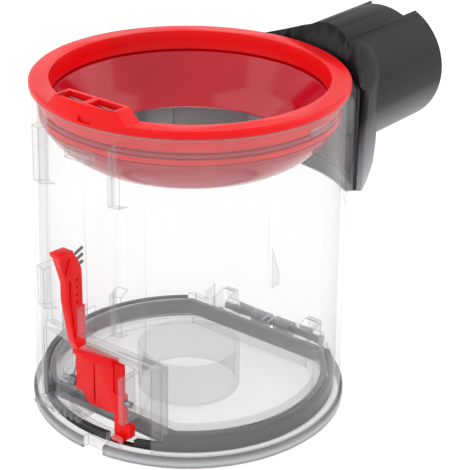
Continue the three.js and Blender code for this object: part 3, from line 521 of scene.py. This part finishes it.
class BIN_OT_stage(bpy.types.Operator):
    """Makes the pale floor, the studio light and the camera"""

    bl_idname = "bin.stage"
    bl_label = "Stage"

    def execute(self, context):
        scene = context.scene
        deselect()
        bpy.ops.mesh.primitive_plane_add(size=6, location=(0, 0, -FLOOR_GAP))
        floor = context.object
        floor.name = "studio_floor"
        floor.data.materials.append(finish("floor"))
        world = bpy.data.worlds.new("studio_sky")
        world.use_nodes = True
        sky = world.node_tree.nodes["Background"]
        sky.inputs["Color"].default_value = (1, 1, 1, 1)
        sky.inputs["Strength"].default_value = scene.bin_sizes.light
        scene.world = world
        self.light("key", (-0.5, -0.5, 0.9), 0.9, 2.5)
        self.light("rim", (0.5, 0.6, 0.7), 0.7, 1.5)
        self.camera(context)
        scene.view_settings.view_transform = "Standard"
        return {"FINISHED"}

    def light(self, name, place, size, power):
        """A soft square light that looks at the middle of the bin."""
        deselect()
        bpy.ops.object.light_add(type="AREA", location=place)
        lamp = bpy.context.object
        lamp.name = f"{name}_light"
        lamp.data.size = size
        lamp.data.energy = power
        aim = Vector(LIGHT_TARGET) - Vector(place)
        lamp.rotation_euler = aim.to_track_quat("-Z", "Y").to_euler()

    def camera(self, context):
        """The camera's place and turn, with its roll of about one degree."""
        deselect()
        bpy.ops.object.camera_add(location=CAMERA_PLACE)
        camera = context.object
        ahead = Vector(CAMERA_AHEAD).normalized()
        right = Vector(CAMERA_RIGHT).normalized()
        up = (-ahead).cross(right)
        turn = Matrix((right, up, -ahead)).transposed()
        camera.rotation_euler = turn.to_euler()
        camera.data.sensor_width = 36
        camera.data.lens = CAMERA_LENS
        camera.data.clip_start = 0.01
        context.scene.camera = camera


class BIN_OT_body(bpy.types.Operator):
    """Makes the clear body with its small mouldings"""

    bl_idname = "bin.body"
    bl_label = "Clear body"

    def execute(self, context):
        clear = finish("clear")
        smooth_copy("bin_body", "clear_body", "root", clear)
        self.top_bead(context, clear)
        self.wall_clip(clear)
        self.outline_mark(clear)
        self.stripes()
        return {"FINISHED"}

    def top_bead(self, context, clear):
        """Rounded lip at the wall's top edge."""
        bead = context.scene.bin_sizes.bead * MM
        deselect()
        bpy.ops.mesh.primitive_torus_add(
            major_radius=(RIM_R - 0.5) * MM,
            minor_radius=bead,
            major_segments=120,
            minor_segments=8,
            location=(0, 0, (WALL_TOP - 0.5) * MM),
        )
        piece = bpy.context.object
        select_faces(piece, lambda face: face.normal.z > 0.8)
        bpy.ops.transform.translate(value=(0, 0, -0.1 * MM))
        bpy.ops.object.mode_set(mode="OBJECT")
        settle(piece, "wall_top_bead", "root", clear, 60)

    def wall_clip(self, clear):
        """Oblong clip moulded on the wall between the upper rails, with a sunk middle."""
        z = WALL_TOP - 11
        half_width, half_height = 6.5, 2.2
        low = (-half_width, -RIM_R - 1.6, z - half_height)
        piece = block(low, (half_width, -RIM_R + ROOT_DEPTH, z + half_height), 0.5)
        select_faces(piece, lambda face: face.normal.y < -0.95)
        bpy.ops.mesh.inset(thickness=0.7 * MM)
        bpy.ops.transform.translate(value=(0, 0.9 * MM, 0))
        bpy.ops.object.mode_set(mode="OBJECT")
        settle(piece, "wall_clip", "root", clear)

    def outline_mark(self, clear):
        """Thin raised oblong frame under the rim."""
        z = WALL_TOP - 4
        half_width, half_height = 6, 1.6
        low = (-half_width, -RIM_R + 0.2, z - half_height)
        piece = block(low, (half_width, -RIM_R + ROOT_DEPTH, z + half_height), 0.1)
        select_faces(piece, lambda face: face.normal.y < -0.95)
        bpy.ops.mesh.inset(thickness=0.45 * MM)
        bpy.ops.transform.translate(value=(0, 0.25 * MM, 0))
        bpy.ops.object.mode_set(mode="OBJECT")
        turn_about_z(piece, 90.5)
        settle(piece, "wall_outline", "root", clear)

    def stripes(self):
        """Plain slanted stripes, printed on the wall beside the slider's head."""
        half_length, half_width, spacing = 2.8, 0.5, 2.7
        for i in range(3):
            z = SLIDER_TOP - 4.5 - spacing * i
            low = (-half_length, -RIM_R - 0.15, z - half_width)
            bar = block(low, (half_length, -RIM_R + 0.6, z + half_width), 0.1, tilt=-46)
            turn_about_z(bar, -2.2)
            settle(bar, f"wall_stripe_{i + 1}", "root", finish("ink"))


class BIN_OT_collar(bpy.types.Operator):
    """Makes the red collar, its soft scraper, clips and seal"""

    bl_idname = "bin.collar"
    bl_label = "Collar"

    def execute(self, context):
        edge = context.scene.bin_sizes.edge
        smooth_copy("collar_ring", "red_collar", "root", finish("red"), edge)
        smooth_copy("scraper_cone", "soft_scraper", "root", finish("cone"), edge, 14)
        smooth_copy("collar_seal", "collar_oring", "root", finish("cone"), 0, 60)
        for side in ("left", "right"):
            name = f"leaf_clip_{side}"
            smooth_copy(f"ring_clip_{side}", name, "root", finish("steel"), HARDWARE_EDGE)
        return {"FINISHED"}


class BIN_OT_duct(bpy.types.Operator):
    """Makes the inlet duct with its gasket and screws"""

    bl_idname = "bin.duct"
    bl_label = "Inlet duct"

    def execute(self, context):
        plastic = finish("duct")
        piece = smooth_copy("inlet_duct", "dark_duct", "root", plastic, 0, 45, False)
        add_modifier(piece, "WEIGHTED_NORMAL", keep_sharp=True, weight=100)
        smooth_copy("duct_gasket", "flat_gasket", "root", finish("rubber"))
        for place in ("upper", "lower"):
            name = f"cross_screw_{place}"
            smooth_copy(f"duct_screw_{place}", name, "root", finish("steel"), HARDWARE_EDGE)
        return {"FINISHED"}


class BIN_OT_lid(bpy.types.Operator):
    """Makes the clear base lid and its two rubber seals"""

    bl_idname = "bin.lid"
    bl_label = "Base lid"

    def execute(self, context):
        edge = context.scene.bin_sizes.edge
        smooth_copy("base_lid", "clear_lid", "lid", finish("clear_lid"))
        for node in ("lid_upstand", "lid_hub", "lid_keeper"):
            smooth_copy(node, f"clear_{node}", "lid", finish("clear"), edge)
        smooth_copy("lid_seal", "lip_seal", "lid", finish("lip"), 2 * edge)
        # a black rubber band round the lid's rim, which also stands in for the shadow and dark reflection in
        # the gap between body and lid: painted shade
        smooth_copy("rim_gasket", "rim_band_and_gap_shade", "lid", finish("rubber"), edge)
        return {"FINISHED"}


class BIN_OT_catch(bpy.types.Operator):
    """Makes the catch with its row of teeth, and the slider"""

    bl_idname = "bin.catch"
    bl_label = "Catch and slider"

    def execute(self, context):
        edge = context.scene.bin_sizes.edge
        red = finish("red")
        smooth_copy("lid_catch", "red_catch", "catch", red, edge)
        smooth_copy("release_slider", "red_slider", "slider", red, edge)
        pitch = 2.2
        for i in range(5):
            x = CATCH_PIN.x - 2.6 + pitch * i
            low = (x, CATCH_PIN.y - 1.3, CATCH_PIN.z - 6.5)
            tooth = block(low, (x + pitch / 2, CATCH_PIN.y + 0.8, CATCH_PIN.z - 4.8), 0.2)
            settle(tooth, f"catch_tooth_{i + 1}", "catch", red)
        return {"FINISHED"}


class BIN_OT_hardware(bpy.types.Operator):
    """Makes the pins and springs"""

    bl_idname = "bin.hardware"
    bl_label = "Pins and springs"

    def execute(self, context):
        for node in ("hinge_pin", "catch_pin", "lid_spring_left", "lid_spring_right", "catch_spring"):
            smooth_copy(node, f"{node}_steel", "root", finish("steel"), 0, 65)
        steel = finish("steel")
        spring = smooth_copy("slider_spring", "slider_spring_steel", "root", steel, 0, 65)
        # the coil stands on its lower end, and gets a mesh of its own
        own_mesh(spring)
        return {"FINISHED"}


class BIN_PT_pieces(bpy.types.Panel):
    """Lists the dust bin's pieces and its sizes and colours"""

    bl_idname = "BIN_PT_pieces"
    bl_label = "Dust Bin"
    bl_space_type = "VIEW_3D"
    bl_region_type = "UI"
    bl_category = "Dust Bin"

    def draw(self, context):
        for step in STEPS:
            self.layout.operator(step.bl_idname)
        for group in (context.scene.bin_colours, context.scene.bin_sizes):
            for name in group.__annotations__:
                self.layout.prop(group, name)


STEPS = (BIN_OT_stage, BIN_OT_body, BIN_OT_collar, BIN_OT_duct, BIN_OT_lid, BIN_OT_catch, BIN_OT_hardware)
CLASSES = (BinColours, BinSizes, *STEPS, BIN_PT_pieces)


def register():
    for one in CLASSES:
        bpy.utils.register_class(one)
    bpy.types.Scene.bin_colours = bpy.props.PointerProperty(type=BinColours)
    bpy.types.Scene.bin_sizes = bpy.props.PointerProperty(type=BinSizes)


def unregister():
    del bpy.types.Scene.bin_sizes
    del bpy.types.Scene.bin_colours
    for one in reversed(CLASSES):
        bpy.utils.unregister_class(one)


def main():
    register()
    bpy.ops.bin.stage()
    bpy.ops.bin.body()
    bpy.ops.bin.collar()
    bpy.ops.bin.duct()
    bpy.ops.bin.lid()
    bpy.ops.bin.catch()
    bpy.ops.bin.hardware()


if __name__ == "__main__":
    main()
